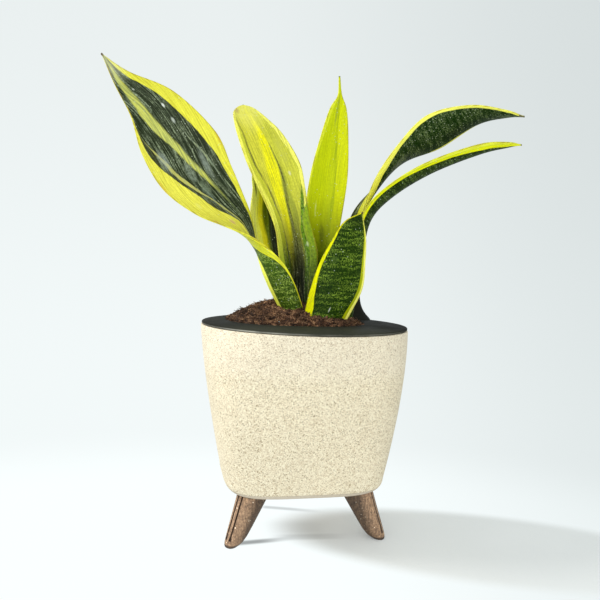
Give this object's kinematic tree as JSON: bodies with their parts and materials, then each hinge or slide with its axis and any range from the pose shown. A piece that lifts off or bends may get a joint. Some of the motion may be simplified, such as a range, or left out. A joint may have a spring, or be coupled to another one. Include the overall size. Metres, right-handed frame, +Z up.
{
  "type": "potted golden hahnii snake plant",
  "caption": "Golden hahnii snake plant with broad variegated leaves, standing in a black insert in an oval speckled planter on short splayed legs.",
  "frame": {"origin": "On the floor, below the centre of the pot, which is also the middle of the plant's reach from side to side.", "axes": "+Z is up. -Y is the front, which the broad dark leaf faces. +X is the side that the two arching leaves reach over."},
  "size_m": [0.2527, 0.1028, 0.2862],
  "materials": {
    "speckled_composite": "matt moulded composite with fine light and dark specks",
    "black_plastic": "matt moulded black plastic",
    "wood_composite": "brown wood-fibre composite with a coarse grain and small glints",
    "coir_soil": "damp reddish-brown coir with loose fibres and a little white grit",
    "leaf_dark": "waxy succulent leaf, dark green with pale mottling and yellow margins",
    "leaf_yellow": "waxy succulent leaf, yellow-green with darker lengthwise stripes"
  },
  "bodies": {
    "root": {"pot": "speckled_composite", "liner": "black_plastic", "leg_front_left": "wood_composite", "leg_front_right": "wood_composite", "leg_rear": "wood_composite", "soil": "coir_soil", "leaf_left": "leaf_dark", "leaf_centre": "leaf_yellow", "leaf_upright": "leaf_yellow", "leaf_back": "leaf_yellow", "leaf_right_high": "leaf_dark", "leaf_right_low": "leaf_dark", "leaf_front": "leaf_dark"}
  },
  "joints": []
}
